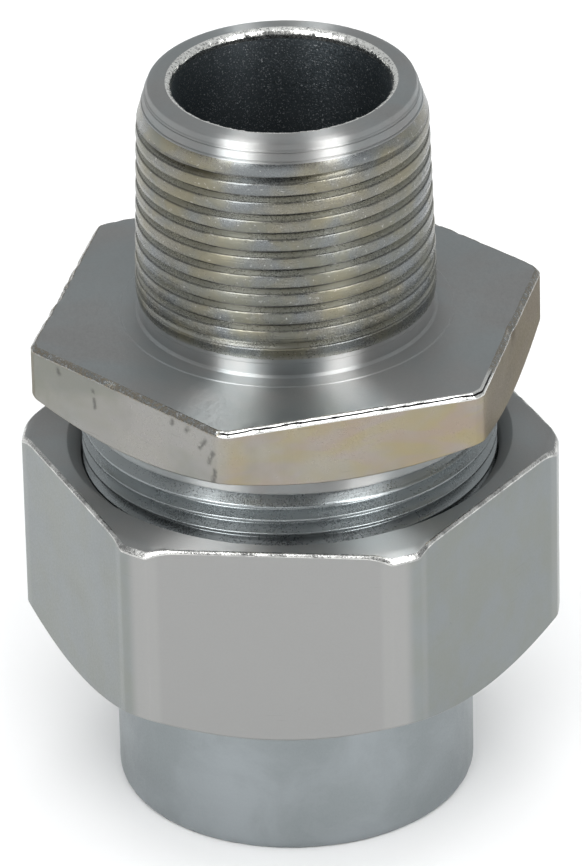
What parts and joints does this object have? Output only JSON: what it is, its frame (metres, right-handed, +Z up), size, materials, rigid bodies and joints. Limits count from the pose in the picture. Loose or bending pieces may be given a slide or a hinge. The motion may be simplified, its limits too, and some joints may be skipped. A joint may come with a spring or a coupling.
{
  "type": "pipe union",
  "caption": "Three-piece metal pipe union with a male taper thread, a wrench flange, a hexagonal union nut on a straight thread, and a round hub with a female taper pipe thread.",
  "frame": {"origin": "centre of the female half's bottom face, where the union stands", "axes": "+Z up along the pipe axis towards the male end; the union nut has a corner on +X and flats facing +Y and -Y"},
  "size_m": [0.049, 0.0472, 0.0708],
  "materials": {
    "hub_zinc": "zinc plated steel, satin, turned",
    "nut_zinc": "zinc plated steel, satin, milled flats",
    "male_zinc": "zinc plated steel with a faint yellow passivation, bright turned threads"
  },
  "bodies": {
    "female_half": {"female_half": "hub_zinc"},
    "union_nut": {"union_nut": "nut_zinc"},
    "male_half": {"male_half": "male_zinc"}
  },
  "joints": [
    {"name": "nut_turn", "type": "hinge", "parent": "female_half", "child": "union_nut", "pos_m": [0, 0, 0.0245], "axis": [0, 0, 1], "range_deg": [-2520, 0]},
    {"name": "male_half_lift", "type": "slide", "parent": "female_half", "child": "male_half", "axis": [0, 0, 1], "range_m": [0, 0.00988]}
  ],
  "couplings": [
    {"joint": "male_half_lift", "follows": "nut_turn", "m_per_rad": -0.00022459}
  ]
}
